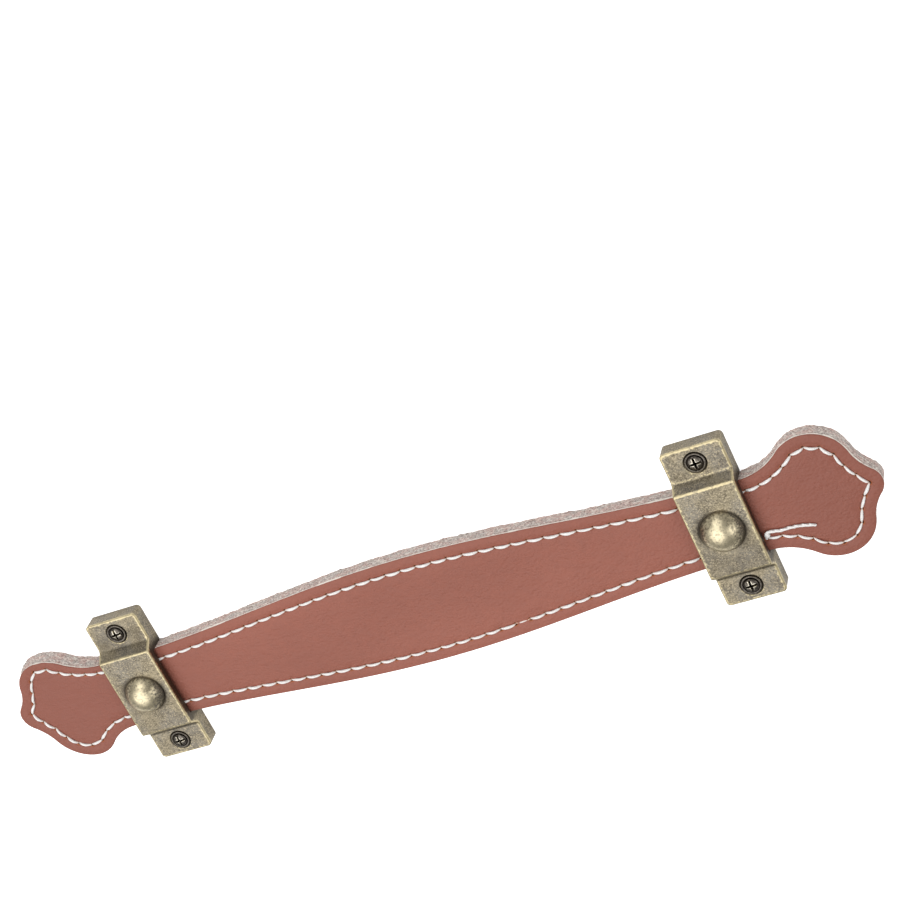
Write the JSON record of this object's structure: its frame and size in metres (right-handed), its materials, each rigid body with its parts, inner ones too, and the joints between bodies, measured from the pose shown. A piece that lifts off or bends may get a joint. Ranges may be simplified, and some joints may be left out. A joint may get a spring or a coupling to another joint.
{
  "type": "faux leather strap pull",
  "caption": "Stitched faux leather strap pull with pointed ogee heads, held flat on a front under domed antique brass brackets that are screwed down through their feet",
  "frame": {"origin": "on the mounting plane, midway between the brackets", "axes": "+X along the strap, +Y across it, +Z out of the mounting plane towards the user"},
  "size_m": [0.2391, 0.0434, 0.0188],
  "materials": {
    "leathercloth": "satin pebbled coating",
    "pressed_fibre": "matte cut edge",
    "white_thread": "matte",
    "antique_brass": "aged and rubbed bright on the edges",
    "dark_bronze": "dark plated"
  },
  "bodies": {
    "root": {"strap_face": "leathercloth", "strap_core": "pressed_fibre", "needle_thread": "white_thread", "bobbin_thread": "white_thread", "left_bracket": "antique_brass", "right_bracket": "antique_brass", "left_upper_screw": "dark_bronze", "left_lower_screw": "dark_bronze", "right_upper_screw": "dark_bronze", "right_lower_screw": "dark_bronze"}
  },
  "joints": []
}
